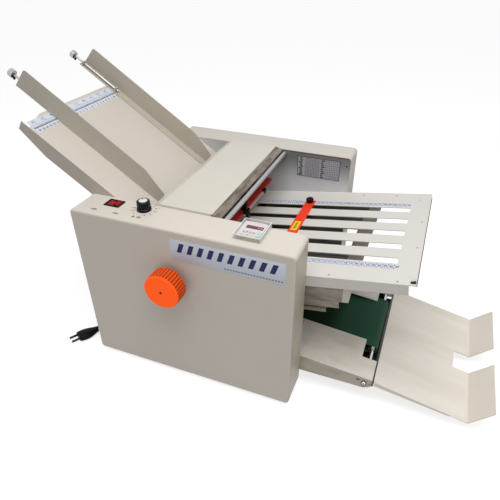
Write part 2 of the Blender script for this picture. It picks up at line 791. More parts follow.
def add_motor():
    """The drive motor between the plates, flush with the front one."""
    start = FIT * 2 - CHANNEL_HALF
    bell = start + MOTOR_BELL_LENGTH
    end = start + MOTOR_LENGTH
    band = MOTOR_RADIUS - MOTOR_BAND_DEPTH
    profile = (
        (start, MOTOR_RADIUS),
        (bell, MOTOR_RADIUS),
        (bell, band),
        (end - MOTOR_BELL_LENGTH, band),
        (end - MOTOR_BELL_LENGTH, MOTOR_RADIUS),
        (end - MOTOR_BELL_LENGTH / 2, MOTOR_RADIUS),
        (end, MOTOR_BELL_RADIUS),
    )
    add_object("drive_motor", turned(profile, ROUND_STEPS, along_y), DARK_STEEL, place=(MOTOR_X, 0, MOTOR_Z))


def add_feed_roller():
    """The feed shaft with its rubber tyres."""
    end = CHANNEL_HALF + SIDE_PLATE_GAUGE + ROLLER_SHAFT_TAIL
    profile = [(-end, FEED_SHAFT_RADIUS)]
    for index in range(FEED_TYRE_COUNT):
        middle = (index - (FEED_TYRE_COUNT - 1) / 2) * FEED_TYRE_PITCH
        start = middle - FEED_TYRE_WIDTH / 2
        stop = middle + FEED_TYRE_WIDTH / 2
        profile.append((start, FEED_SHAFT_RADIUS))
        profile.append((start, FEED_ROLLER_RADIUS))
        profile.append((stop, FEED_ROLLER_RADIUS))
        profile.append((stop, FEED_SHAFT_RADIUS))
    profile.append((end, FEED_SHAFT_RADIUS))
    bm = turned(profile, ROUND_STEPS, along_y)
    add_object("feed_roller", bm, ROLLER_RUBBER, place=(FEED_ROLLER_X, 0, FEED_ROLLER_Z))


def add_hand_wheel():
    """The ribbed wheel on the first roller's shaft, in front of the casing."""
    front = -(MACHINE_WIDTH / 2 + WHEEL_FRONT)
    rear = front + WHEEL_WIDTH
    hub_end = -(MACHINE_WIDTH / 2 + WHEEL_HUB_GAP)
    ribbed = ribbed_circle(WHEEL_RADIUS, WHEEL_RIBS, WHEEL_RIB_DEPTH)
    steps = 2 * WHEEL_RIBS
    bm = loft([
        along_y(circle(WHEEL_HUB_RADIUS, steps), hub_end),
        along_y(circle(WHEEL_HUB_RADIUS, steps), rear),
        along_y(circle(WHEEL_RADIUS - WHEEL_EDGE, steps), rear),
        along_y(ribbed, rear - WHEEL_EDGE / 2),
        along_y(ribbed, front + WHEEL_EDGE),
        along_y(circle(WHEEL_RADIUS - WHEEL_EDGE, steps), front),
    ])
    place = (WHEEL_X, 0, WHEEL_Z)
    wheel = add_object("hand_wheel", bm, ORANGE_PLASTIC, place=place)
    bore_end = front + WHEEL_WEB
    bore = rod_tool("wheel_bore", ROLLER_SHAFT_RADIUS + FIT, bore_end, hub_end + OVERRUN, along_y, place)
    combine(wheel, bore, "DIFFERENCE")
    ends = (front - OVERRUN, bore_end + OVERRUN)
    hole = rod_tool("wheel_screw_hole", WHEEL_SCREW_HOLE_RADIUS, *ends, along_y, place)
    combine(wheel, hole, "DIFFERENCE")


def add_bridge():
    """The cover over the rollers, with a sloping lip on each side and a flange in each casing gap."""
    flat = (BRIDGE_LEFT + RELIEF, BRIDGE_RIGHT - RELIEF)
    bm = grid_sheet((BRIDGE_LEFT, *flat, BRIDGE_RIGHT), (-SPAN_HALF, SPAN_HALF))
    fold(bm, rim(bm, at_side(SPAN_HALF, *flat)), lambda corner: (0, 0, -BRIDGE_FLANGE))
    fold(bm, rim(bm, at_x(BRIDGE_LEFT)), lambda corner: (-BRIDGE_LEFT_LIP_RUN, 0, -BRIDGE_LEFT_LIP_DROP))
    fold(bm, rim(bm, at_x(BRIDGE_RIGHT)), lambda corner: (BRIDGE_RIGHT_LIP_RUN, 0, -BRIDGE_RIGHT_LIP_DROP))
    bridge = add_object("bridge_cover", face_up(bm), ENAMEL, place=(0, 0, CASE_TOP + BRIDGE_RISE))
    give_gauge(bridge, BRIDGE_GAUGE)


def add_bars():
    """The round bar and the red gate bar that span between the side plates."""
    chamfered = CROSS_BAR_RADIUS - CROSS_BAR_CHAMFER
    profile = (
        (-SPAN_HALF, chamfered),
        (CROSS_BAR_CHAMFER - SPAN_HALF, CROSS_BAR_RADIUS),
        (SPAN_HALF - CROSS_BAR_CHAMFER, CROSS_BAR_RADIUS),
        (SPAN_HALF, chamfered),
    )
    place = (CROSS_BAR_X, 0, CASE_TOP - CROSS_BAR_DROP)
    add_object("cross_bar", turned(profile, ROUND_STEPS, along_y), STEEL, place=place)
    gate_z = CASE_TOP - GATE_BAR_DROP
    bm = box(GATE_BAR_WIDTH, 2 * SPAN_HALF, GATE_BAR_THICKNESS, GATE_BAR_EDGE)
    gate = add_object("gate_bar", bm, ORANGE_PAINT, place=(GATE_BAR_X, 0, gate_z))
    reach = GATE_BAR_THICKNESS / 2 + OVERRUN
    place = (GATE_KNOB_X, GATE_KNOB_Y, gate_z)
    hole = rod_tool("gate_hole", GATE_STUD_RADIUS + FIT, -reach, reach, along_z, place)
    combine(gate, hole, "DIFFERENCE")
    add_gate_knob(gate_z + GATE_BAR_THICKNESS / 2 + FIT)


def add_gate_knob(seat):
    """The tall fluted knob that locks the gate bar, with its stud through the bar."""
    steps = 2 * GATE_KNOB_FLUTES
    stud = circle(GATE_STUD_RADIUS, steps)
    rings = [along_z(stud, -(GATE_BAR_THICKNESS + GATE_STUD_DROP)), along_z(stud, 0)]
    for height_share, radius_share in GATE_KNOB_WAIST_SHARES:
        radius = GATE_KNOB_RADIUS * radius_share
        points = ribbed_circle(radius, GATE_KNOB_FLUTES, radius * (1 - GATE_KNOB_FLUTE_SHARE))
        rings.append(along_z(points, GATE_KNOB_HEIGHT * height_share))
    add_object("gate_knob", loft(rings), BLACK_PLASTIC, place=(GATE_KNOB_X, GATE_KNOB_Y, seat))


def add_feed_tray(frame):
    """The sloping tray with its side flanges, cut corners and end flange."""
    columns = (0, TRAY_SLIT_LENGTH, TRAY_FLANGE_TAPER, TRAY_LENGTH - RELIEF, TRAY_LENGTH)
    side = SPAN_HALF - TRAY_CUT_WIDTH
    half_rows = (side, side + TRAY_CUT_SLANT, SPAN_HALF - TRAY_SLIT_WIDTH, SPAN_HALF)
    rows = sorted(sign * row for row in half_rows for sign in (-1, 1))
    bm = grid_sheet(columns, rows, lambda i, j: i == 0 and j in (0, len(rows) - 2))
    for vert in bm.verts:
        if vert.co.x < TINY and abs(vert.co.y) > side + TINY:
            vert.co.x = TRAY_CUT_LENGTH
    depths = ((0, TRAY_FLANGE_END), (TRAY_FLANGE_TAPER, TRAY_FLANGE))
    sides = rim(bm, at_side(SPAN_HALF, TRAY_SLIT_LENGTH, TRAY_LENGTH - RELIEF))
    fold(bm, sides, lambda corner: (0, 0, -between(corner.x, depths)))
    fold(bm, rim(bm, at_x(TRAY_LENGTH)), lambda corner: (0, 0, -TRAY_END_FLANGE))
    rise = between(TRAY_SLIT_LENGTH, depths) - TRAY_FLANGE_END
    tips = rim(bm, at_side(SPAN_HALF, TRAY_SLIT_LENGTH, TRAY_SLIT_LENGTH))
    fold(bm, tips, lambda corner: (-TRAY_SLIT_LENGTH, 0, rise if corner.z < -TINY else 0))
    tray = add_object("feed_tray", face_up(bm), ENAMEL, frame)
    give_gauge(tray, TRAY_GAUGE)


def add_separator(frame):
    """The rubber pad under the feed roller that holds back all sheets but one."""
    start = TRAY_LENGTH + FIT
    top = -(FEED_ROLLER_BITE + FIT * 2)
    low = top - SEPARATOR_HEIGHT * SEPARATOR_LOW_SHARE
    base = top - SEPARATOR_HEIGHT
    end = start + SEPARATOR_LENGTH
    outline = [(start, base), (end, base), (end, top), (start + SEPARATOR_LENGTH / 3, top), (start, low)]
    bm = loft([along_y(outline, -SEPARATOR_WIDTH / 2), along_y(outline, SEPARATOR_WIDTH / 2)])
    add_object("separator_block", bm, BLACK_RUBBER, frame)


def add_guide(name, side, frame):
    """A side guide: a tall wall bent up from a foot, with two eyes for its clamp rod."""
    wall = side * GUIDE_GAP / 2 + GUIDE_CENTRE_Y
    inner = wall - side * GUIDE_FOOT_WIDTH
    outer = wall + side * GUIDE_GAUGE
    place = (0, outer, FIT + GUIDE_GAUGE)
    rows = sorted((0, inner - outer))
    tops = [
        (GUIDE_START + run * GUIDE_NOSE, (GUIDE_START_SLANT, GUIDE_START_HEIGHT - drop * GUIDE_NOSE))
        for run, drop in GUIDE_NOSE_SHARES
    ]
    tops.append((GUIDE_KNEE, (0, GUIDE_KNEE_HEIGHT)))
    tops.append((GUIDE_END, (GUIDE_END_SLANT, GUIDE_END_HEIGHT)))
    bm = grid_sheet([start for start, _ in tops], rows)

    def rise(corner):
        slant, height = next(value for start, value in tops if abs(corner.x - start) < TINY)
        return (slant, 0, height)

    fold(bm, rim(bm, lambda corner: abs(corner.y) < TINY), rise)
    guide = add_object(name, face_up(bm), ENAMEL, frame, place)
    give_gauge(guide, GUIDE_GAUGE)
    for index, start in enumerate(EYE_STARTS):
        eye = add_eye(f"{name}_eye_{index + 1}", start, wall - side * ROD_INSET, frame)
        combine(guide, eye, "UNION")
    bore_place = (0, wall - side * ROD_INSET, ROD_Z)
    ends = (ROD_START, ROD_END + OVERRUN)
    bore = rod_tool(f"{name}_bore", ROD_RADIUS + FIT, *ends, along_x, bore_place, frame)
    combine(guide, bore, "DIFFERENCE")


def add_eye(name, start, y, frame):
    """A block standing on a guide's foot, whose hole carries the clamp rod."""
    reach = ROD_RADIUS + FIT + EYE_WALL
    base = FIT + GUIDE_GAUGE / 2
    height = ROD_Z + reach - base
    bm = moved(box(EYE_LENGTH, 2 * reach, height), start + EYE_LENGTH / 2, y, base + height / 2)
    return add_object(name, bm, ENAMEL, frame)


def add_clamp_rod(name, side, frame):
    """A clamp rod with its knurled head and the small tab behind it."""
    knurl = ribbed_circle(ROD_HEAD_RADIUS, ROD_HEAD_RIBS, ROD_HEAD_RIB_DEPTH)
    steps = 2 * ROD_HEAD_RIBS
    head_end = ROD_START - ROD_HEAD_LENGTH
    chamfered = circle(ROD_HEAD_RADIUS - ROD_HEAD_CHAMFER, steps)
    bm = loft([
        along_x(circle(ROD_RADIUS, steps), ROD_END),
        along_x(circle(ROD_RADIUS, steps), ROD_START),
        along_x(chamfered, ROD_START),
        along_x(knurl, ROD_START - ROD_HEAD_CHAMFER),
        along_x(knurl, head_end + ROD_HEAD_CHAMFER),
        along_x(chamfered, head_end),
        along_x(circle(ROD_HUB_RADIUS, steps), head_end),
        along_x(circle(ROD_HUB_RADIUS, steps), head_end + ROD_HUB_DEPTH),
    ])
    y = side * (GUIDE_GAP / 2 - ROD_INSET) + GUIDE_CENTRE_Y
    rod = add_object(name, bm, DARK_STEEL, frame, (0, y, ROD_Z))
    bm = box(ROD_TAB_LENGTH, ROD_TAB_WIDTH, ROD_TAB_DROP)
    tab = moved(bm, ROD_START + ROD_TAB_LENGTH, 0, -ROD_TAB_DROP / 2)
    combine(rod, add_object(f"{name}_tab", tab, DARK_STEEL, frame, (0, y, ROD_Z)), "UNION")


def along_plate(x, drop):
    """The place along the plate slope that has a given X, at a depth below the top plate."""
    return (x - PLATE_X - drop * math.sin(PLATE_SLOPE)) / math.cos(PLATE_SLOPE)


def add_top_plate(frame):
    """The upper buckle plate with its row of slots, side flanges and entry lip."""
    start = along_plate(PLATE_MOUTH_X, 0)
    columns = (start, start + RELIEF, SLOT_START, SLOT_END, PLATE_FLANGE_STOP, PLATE_END)
    rows = [-SPAN_HALF]
    for middle in slot_middles():
        rows.append(middle - SLOT_WIDTH / 2)
        rows.append(middle + SLOT_WIDTH / 2)
    rows.append(SPAN_HALF)
    bm = grid_sheet(columns, rows, lambda i, j: i == 2 and j % 2 == 1)
    depths = ((start, PLATE_FLANGE_MOUTH), (PLATE_FLANGE_STOP, PLATE_FLANGE_END))
    flange = rim(bm, at_side(SPAN_HALF, start + RELIEF, PLATE_FLANGE_STOP))
    fold(bm, flange, lambda corner: (0, 0, -between(corner.x, depths)))
    fold(bm, rim(bm, at_x(start)), lambda corner: (0, 0, PLATE_LIP))
    plate = add_object("fold_plate_1_upper", face_up(bm), ENAMEL, frame)
    give_gauge(plate, PLATE_GAUGE)


def add_lower_plate(frame):
    """The wall under the top plate, with its windows and two deep cheeks."""
    half = SPAN_HALF - PLATE_GAUGE - FIT
    start = along_plate(PLATE_MOUTH_X, LOWER_DROP)
    window_end = LOWER_END - LOWER_STRIP
    columns = (start, LOWER_WINDOW_START, window_end, LOWER_CHEEK_END_TOP, LOWER_END)
    rows = (-half, *LOWER_WINDOW_EDGES, half)
    outer = (1, len(LOWER_WINDOW_EDGES) - 1)
    bm = grid_sheet(columns, rows, lambda i, j: (i == 1 and j % 2 == 1) or (i > 1 and j in outer))
    drop = LOWER_CHEEK_BASE - LOWER_DROP
    slant = LOWER_CHEEK_END_TOP - LOWER_CHEEK_END_BASE
    ends = ((window_end, 0), (LOWER_CHEEK_END_TOP, -slant))
    cheeks = rim(bm, at_side(half, start, LOWER_CHEEK_END_TOP))
    fold(bm, cheeks, lambda corner: (between(corner.x, ends), 0, -drop))
    plate = add_object("fold_plate_1_lower", face_up(bm), ENAMEL, frame, (0, 0, -LOWER_DROP))
    give_gauge(plate, PLATE_GAUGE)


def add_third_plate(name, top, flange, end, strip, frame):
    """Half of the third buckle plate: a sheet with windows, side flanges and perhaps an end strip."""
    start = along_plate(PLATE_MOUTH_X, top)
    columns = [start, THIRD_WINDOW_START, end]
    if strip:
        columns.insert(2, end - strip)
    rows = (-SPAN_HALF, *THIRD_WINDOW_EDGES, SPAN_HALF)
    bm = grid_sheet(columns, rows, lambda i, j: i == 1 and j % 2 == 1)
    fold(bm, rim(bm, at_side(SPAN_HALF, start, end)), lambda corner: (0, 0, -flange))
    plate = add_object(name, face_up(bm), ENAMEL, frame, (0, 0, -top))
    give_gauge(plate, PLATE_GAUGE)


def add_rear_plate(name, above, below):
    """A pocket of folded sheet on the feed side, whose mouth lies between two rollers."""
    x = above[0] - ROLLER_RADIUS - REAR_PLATE_MOUTH_GAP
    z = (above[1] + below[1]) / 2
    frame = add_frame(f"{name}_frame", (x, 0, z), -PLATE_SLOPE)
    half = REAR_PLATE_GAP / 2
    bm = grid_sheet((-REAR_PLATE_LENGTH, 0), (-SPAN_HALF, SPAN_HALF))
    moved(bm, 0, 0, half)
    turn = fold(bm, rim(bm, at_x(-REAR_PLATE_LENGTH)), lambda corner: (0, 0, -REAR_PLATE_GAP))
    fold(bm, turn, lambda corner: (REAR_PLATE_LENGTH, 0, 0))
    lip = rim(bm, lambda corner: abs(corner.x) < TINY and corner.z > 0)
    fold(bm, lip, lambda corner: (0, 0, REAR_PLATE_LIP))
    bmesh.ops.recalc_face_normals(bm, faces=bm.faces)
    top = max(bm.faces, key=lambda face: face.calc_center_median().z * face.calc_area())
    if top.normal.z < 0:
        bmesh.ops.reverse_faces(bm, faces=bm.faces)
    plate = add_object(name, bm, ZINC, frame)
    give_gauge(plate, PLATE_GAUGE)


def slot_middles():
    """The centre line of each slot in the top plate."""
    first = SLOT_CENTRE_Y - SLOT_PITCH * (SLOT_COUNT - 1) / 2
    return [first + index * SLOT_PITCH for index in range(SLOT_COUNT)]


def add_stop(frame):
    """The bar that stops the sheet, with a finger in each slot and a knob at each end."""
    base = FIT
    width = STOP_FAR_Y - STOP_NEAR_Y
    middle = (STOP_FAR_Y + STOP_NEAR_Y) / 2
    bm = moved(box(STOP_LENGTH, width, STOP_THICKNESS, STOP_EDGE), 0, middle, base + STOP_THICKNESS / 2)
    bar = add_object("stop_bar", bm, ORANGE_PAINT, frame, (STOP_PLACE, 0, 0))
    top = base + STOP_THICKNESS / 2
    height = FINGER_DROP + top
    x = STOP_PLACE - STOP_LENGTH / 2 + FINGER_LENGTH
    for index, y in enumerate(slot_middles()):
        bm = box(FINGER_LENGTH, FINGER_WIDTH, height)
        place = (x, y, top - height / 2)
        finger = add_object(f"stop_finger_{index + 1}", bm, ORANGE_PAINT, frame, place)
        combine(bar, finger, "UNION")
    seat = base + STOP_THICKNESS + FIT
    reach = STOP_THICKNESS + OVERRUN
    near = STOP_NEAR_Y + STOP_KNOB_INSET
    far = STOP_FAR_Y - STOP_KNOB_INSET
    for name, y in (("stop_knob_front", near), ("stop_knob_rear", far)):
        place = (STOP_PLACE, y, top)
        hole = rod_tool(f"{name}_hole", STOP_STUD_RADIUS + FIT, -reach, reach, along_z, place, frame)
        combine(bar, hole, "DIFFERENCE")
        add_stop_knob(name, y, seat, frame)


def add_stop_knob(name, y, seat, frame):
    """A lobed clamping knob with its stud in the stop bar."""
    steps = 4 * STOP_KNOB_LOBES
    lobed = []
    for index in range(steps):
        angle = math.tau * index / steps
        share = 1 - (1 - STOP_KNOB_LOBE_SHARE) * (1 - math.cos(STOP_KNOB_LOBES * angle)) / 2
        lobed.append((STOP_KNOB_RADIUS * share * math.cos(angle), STOP_KNOB_RADIUS * share * math.sin(angle)))
    stud = circle(STOP_STUD_RADIUS, steps)
    edge = STOP_KNOB_RADIUS * (1 - STOP_KNOB_LOBE_SHARE)
    crown = circle(STOP_KNOB_RADIUS * STOP_KNOB_LOBE_SHARE - edge, steps)
    bm = loft([
        along_z(stud, -STOP_STUD_DROP),
        along_z(stud, 0),
        along_z(lobed, 0),
        along_z(lobed, STOP_KNOB_HEIGHT - edge),
        along_z(crown, STOP_KNOB_HEIGHT),
    ])
    add_object(name, bm, BLACK_PLASTIC, frame, (STOP_PLACE, y, seat))


def add_exit_frame():
    """The forked deck over the exit belt, with deep side flanges that carry the belt's axles."""
    frame = add_frame("deck_frame", (DECK_X, 0, DECK_Z), DECK_SLOPE)
    columns = (-DECK_TAIL, -DECK_OPENING_TAIL, DECK_NOTCH_START, DECK_CORNER_START, DECK_END)
    rows = (-SPAN_HALF, -DECK_NOTCH_HALF, -DECK_OPENING_HALF, DECK_OPENING_HALF, DECK_NOTCH_HALF, SPAN_HALF)
    bm = grid_sheet(columns, rows, lambda i, j: (i == 1 and j == 2) or (i > 1 and 0 < j < 4))
    depths = (
        (-DECK_TAIL, DECK_FLANGE_START),
        (DECK_CORNER_START, DECK_FLANGE_CORNER),
        (DECK_END, DECK_FLANGE_END),
    )
    sides = rim(bm, at_side(SPAN_HALF, -DECK_TAIL, DECK_END))
    fold(bm, sides, lambda corner: (0, 0, -between(corner.x, depths)))
    deck = add_object("exit_frame", face_up(bm), ENAMEL, frame)
    give_gauge(deck, DECK_GAUGE)
    half = SPAN_HALF - DECK_GAUGE / 2
    pan = [
        (PAN_START, half),
        (PAN_START, -half),
        (PAN_CORNER, -half),
        (PAN_CORNER, -DECK_NOTCH_HALF),
        (PAN_END, -DECK_NOTCH_HALF),
        (PAN_END, DECK_NOTCH_HALF),
        (PAN_CORNER, DECK_NOTCH_HALF),
        (PAN_CORNER, half),
    ]
    sheet = loft([along_z(pan, PAN_Z), along_z(pan, PAN_Z + DECK_GAUGE)])
    combine(deck, add_object("exit_pan", sheet, ENAMEL), "UNION")
    reach = SPAN_HALF + OVERRUN
    axles = (
        ("axle_hole", AXLE_X, AXLE_Z, AXLE_RADIUS),
        ("shaft_hole", INNER_ROLLER_X, INNER_ROLLER_Z, INNER_SHAFT_RADIUS),
    )
    for name, x, z, radius in axles:
        combine(deck, rod_tool(name, radius + FIT, -reach, reach, along_y, (x, 0, z)), "DIFFERENCE")


def belt_loop(radius):
    """The outline of a belt round both of its rollers, as X and Z."""
    run = math.hypot(AXLE_X - INNER_ROLLER_X, AXLE_Z - INNER_ROLLER_Z)
    tilt = math.atan2(AXLE_Z - INNER_ROLLER_Z, AXLE_X - INNER_ROLLER_X)
    steps = SMALL_STEPS // 2
    points = []
    for centre, start in ((run, -math.pi / 2), (0, math.pi / 2)):
        for index in range(steps + 1):
            angle = start + math.pi * index / steps
            points.append((centre + radius * math.cos(angle), radius * math.sin(angle)))
    turned_points = []
    for x, z in points:
        turned_x = x * math.cos(tilt) - z * math.sin(tilt)
        turned_z = x * math.sin(tilt) + z * math.cos(tilt)
        turned_points.append((INNER_ROLLER_X + turned_x, INNER_ROLLER_Z + turned_z))
    return turned_points


def add_belt():
    """The flat exit belt, its two rollers and the outer axle."""
    inner = belt_loop(BELT_ROLLER_RADIUS + FIT)
    outer = belt_loop(BELT_ROLLER_RADIUS + FIT + BELT_GAUGE)
    add_object("exit_belt", sleeve_between(outer, inner, BELT_HALF), GREEN_BELT)
    bore = circle(AXLE_RADIUS + FIT, ROUND_STEPS)
    skin = circle(BELT_ROLLER_RADIUS, ROUND_STEPS)
    half = BELT_ROLLER_HALF
    sleeve = sleeve_between(skin, bore, half)
    place = (AXLE_X, 0, AXLE_Z)
    add_object("belt_roller_outer", sleeve, STEEL, place=place)
    tail = SPAN_HALF + FIT
    axle = (
        (-tail - AXLE_HEAD_LENGTH, AXLE_HEAD_RADIUS),
        (-tail, AXLE_HEAD_RADIUS),
        (-tail, AXLE_RADIUS),
        (tail, AXLE_RADIUS),
        (tail, AXLE_HEAD_RADIUS),
        (tail + AXLE_HEAD_LENGTH, AXLE_HEAD_RADIUS),
    )
    add_object("belt_axle", turned(axle, SMALL_STEPS, along_y), STEEL, place=place)
    end = SPAN_HALF - FIT - INNER_SHAFT_TAIL
    shaft = (
        (-end, INNER_SHAFT_RADIUS),
        (-half, INNER_SHAFT_RADIUS),
        (-half, BELT_ROLLER_RADIUS),
        (half, BELT_ROLLER_RADIUS),
        (half, INNER_SHAFT_RADIUS),
        (end, INNER_SHAFT_RADIUS),
    )
    place = (INNER_ROLLER_X, 0, INNER_ROLLER_Z)
    add_object("belt_roller_inner", turned(shaft, ROUND_STEPS, along_y), STEEL, place=place)


def add_exit_tray():
    """The catch tray with two lugs bent up at its end and two ears on the belt's axle."""
    hinge = add_frame("exit_tray_hinge", (AXLE_X, 0, AXLE_Z))
    tilt = add_frame("exit_tray_frame", (EXIT_TRAY_X - AXLE_X, 0, EXIT_TRAY_Z - AXLE_Z), EXIT_TRAY_SLOPE)
    tilt.parent = hinge
    columns = (0, EXIT_FLANGE_START, EXIT_NOTCH_START, EXIT_TRAY_LENGTH)
    rows = (EXIT_TRAY_NEAR_Y, EXIT_NOTCH_NEAR_Y, EXIT_NOTCH_FAR_Y, EXIT_TRAY_FAR_Y)
    bm = grid_sheet(columns, rows, lambda i, j: i == 2 and j == 1)
    depths = ((EXIT_FLANGE_START, EXIT_FLANGE_DEEP), (EXIT_TRAY_LENGTH, EXIT_FLANGE_SHALLOW))

    def on_side(corner):
        outside = abs(corner.y - EXIT_TRAY_NEAR_Y) < TINY or abs(corner.y - EXIT_TRAY_FAR_Y) < TINY
        return outside and EXIT_FLANGE_START - TINY < corner.x < EXIT_TRAY_LENGTH - TINY

    def lug(corner):
        taper = LUG_TAPER if abs(corner.y - EXIT_TRAY_NEAR_Y) < TINY else 0
        taper = -LUG_TAPER if abs(corner.y - EXIT_TRAY_FAR_Y) < TINY else taper
        return (LUG_LENGTH * math.cos(LUG_RISE), taper, LUG_LENGTH * math.sin(LUG_RISE))

    fold(bm, rim(bm, on_side), lambda corner: (0, 0, -between(corner.x, depths)))
    fold(bm, rim(bm, at_x(EXIT_TRAY_LENGTH)), lug)
    tray = add_object("exit_tray", face_up(bm), ENAMEL, tilt)
    give_gauge(tray, EXIT_TRAY_GAUGE)
    for index, side in enumerate((-1, 1)):
        combine(tray, add_ear(f"exit_ear_{index + 1}", side, hinge), "UNION")
    reach = EAR_Y + EAR_GAUGE + OVERRUN
    bore = rod_tool("ear_bore", AXLE_RADIUS + FIT, -reach, reach, along_y, (0, 0, 0), hinge)
    combine(tray, bore, "DIFFERENCE")


def add_ear(name, side, hinge):
    """A link from under the tray to the axle, round at the axle's end."""
    under = EXIT_TRAY_GAUGE / 2
    tilt = EXIT_TRAY_SLOPE
    base_x = EXIT_TRAY_X - AXLE_X - under * math.sin(tilt)
    base_z = EXIT_TRAY_Z - AXLE_Z - under * math.cos(tilt)
    near = (base_x, base_z)
    far = (base_x + EAR_REACH * math.cos(tilt), base_z - EAR_REACH * math.sin(tilt))
    far_low = (far[0] - EAR_DROP / 2 * math.sin(tilt), far[1] - EAR_DROP / 2 * math.cos(tilt))
    points = [far_low, far, near]
    for index in range(SMALL_STEPS // 2 + 1):
        angle = math.radians(60.0) + math.radians(210.0) * index / (SMALL_STEPS // 2)
        points.append((EAR_RADIUS * math.cos(angle), EAR_RADIUS * math.sin(angle)))
    bm = loft([along_y(points, side * EAR_Y), along_y(points, side * (EAR_Y + EAR_GAUGE))])
    return add_object(name, bm, ENAMEL, hinge)


def add_switch(cover):
    """The mains switch: a framed opening with a two-sided rocker."""
    inner_length = 2 * (ROCKER_RADIUS + FIT)
    inner_width = ROCKER_WIDTH + 2 * FIT
    under = FIT
    top = under + SWITCH_BEZEL_HEIGHT
    bezel = rectangle(SWITCH_BEZEL_LENGTH, SWITCH_BEZEL_WIDTH)
    body = rectangle(SWITCH_BODY_LENGTH, SWITCH_BODY_WIDTH)
    inner = rectangle(inner_length, inner_width)
    bm = loft([
        along_z(body, -SWITCH_BODY_DEPTH),
        along_z(body, under),
        along_z(bezel, under),
        along_z(bezel, top),
        along_z(inner, top),
        along_z(inner, -SWITCH_BODY_DEPTH),
    ], closed=True)
    place = (SWITCH_X, SWITCH_Y, CASE_TOP)
    add_object("switch_frame", bm, BLACK_PLASTIC, place=place)
    opening = box(SWITCH_BODY_LENGTH + 2 * FIT, SWITCH_BODY_WIDTH + 2 * FIT, 2 * (CASE_SHEET + OVERRUN))
    combine(cover, add_object("switch_opening", opening, ENAMEL, place=place), "DIFFERENCE")
    points = []
    for side in (1, -1):
        for index in range(CORNER_STEPS + 1):
            share = index / CORNER_STEPS if side > 0 else 1 - index / CORNER_STEPS
            angle = ROCKER_LOW_ANGLE + (ROCKER_TOP_ANGLE - ROCKER_LOW_ANGLE) * share
            points.append((side * ROCKER_RADIUS * math.cos(angle), ROCKER_RADIUS * math.sin(angle)))
        if side > 0:
            points.append((0, ROCKER_WAIST))
    bm = loft([along_y(points, -ROCKER_WIDTH / 2), along_y(points, ROCKER_WIDTH / 2)])
    rocker = add_object("switch_rocker", bm, RED_PLASTIC, place=(SWITCH_X, SWITCH_Y, CASE_TOP - ROCKER_DROP))
    rocker.rotation_euler = (0, ROCKER_TILT, 0)


def add_speed_knob(cover):
    """The ribbed speed knob with its spindle through the casing."""
    steps = 2 * SPEED_KNOB_RIBS
    spindle = circle(SPEED_SHAFT_RADIUS, steps)
    skirt = circle(SPEED_KNOB_RADIUS, steps)
    rib_radius = SPEED_KNOB_TOP_RADIUS + SPEED_KNOB_RIB_DEPTH
    ribbed = ribbed_circle(rib_radius, SPEED_KNOB_RIBS, SPEED_KNOB_RIB_DEPTH)
    crown = circle(SPEED_KNOB_TOP_RADIUS - SPEED_KNOB_EDGE, steps)
    bm = loft([
        along_z(spindle, -SPEED_SHAFT_DROP),
        along_z(spindle, 0),
        along_z(skirt, 0),
        along_z(skirt, SPEED_KNOB_BAND),
        along_z(ribbed, SPEED_KNOB_BAND + SPEED_KNOB_EDGE),
        along_z(ribbed, SPEED_KNOB_HEIGHT - SPEED_KNOB_EDGE),
        along_z(crown, SPEED_KNOB_HEIGHT),
    ])
    add_object("speed_knob", bm, BLACK_PLASTIC, place=(SPEED_KNOB_X, SPEED_KNOB_Y, CASE_TOP + FIT))
    reach = CASE_SHEET + OVERRUN
    place = (SPEED_KNOB_X, SPEED_KNOB_Y, CASE_TOP)
    hole = rod_tool("speed_hole", SPEED_SHAFT_RADIUS + FIT, -reach, reach, along_z, place)
    combine(cover, hole, "DIFFERENCE")


def add_counter():
    """The batch counter: a body with a display recess and five keys, in a clear slanted surround."""
    base = CASE_TOP + FIT
    inner_length = COUNTER_LENGTH - 2 * (COUNTER_SLANT + COUNTER_RIM)
    inner_width = COUNTER_WIDTH - 2 * (COUNTER_SLANT + COUNTER_RIM)
    wide = rectangle(COUNTER_LENGTH, COUNTER_WIDTH)
    narrow = rectangle(COUNTER_LENGTH - 2 * COUNTER_SLANT, COUNTER_WIDTH - 2 * COUNTER_SLANT)
    hole = rectangle(inner_length, inner_width)
    rings = (
        along_z(wide, 0),
        along_z(narrow, COUNTER_HEIGHT),
        along_z(hole, COUNTER_HEIGHT),
        along_z(hole, 0),
    )
    place = (COUNTER_X, COUNTER_Y, base)
    add_object("counter_cover", loft(rings, closed=True), CLEAR_PLASTIC, place=place)
    bm = box(inner_length - 2 * FIT, inner_width - 2 * FIT, COUNTER_BODY_HEIGHT)
    body = add_object("counter_body", moved(bm, 0, 0, COUNTER_BODY_HEIGHT / 2), BEIGE_PLASTIC, place=place)
    top = base + COUNTER_BODY_HEIGHT
    recess = box(DISPLAY_LENGTH, DISPLAY_WIDTH, 2 * DISPLAY_DEPTH)
    display_place = (COUNTER_X + DISPLAY_X, COUNTER_Y + DISPLAY_Y, top)
    combine(body, add_object("display_recess", recess, BEIGE_PLASTIC, place=display_place), "DIFFERENCE")
    for index in range(KEY_COUNT):
        x = COUNTER_X + KEY_START_X + KEY_PITCH * (index + 1 / 2)
        add_key(f"counter_key_{index + 1}", x, COUNTER_Y + KEY_Y, KEY_LENGTH, KEY_WIDTH, top, body)
    x = COUNTER_X + RESET_X
    y = COUNTER_Y + RESET_Y
    add_key("counter_reset_key", x, y, RESET_LENGTH, RESET_WIDTH, top, body)


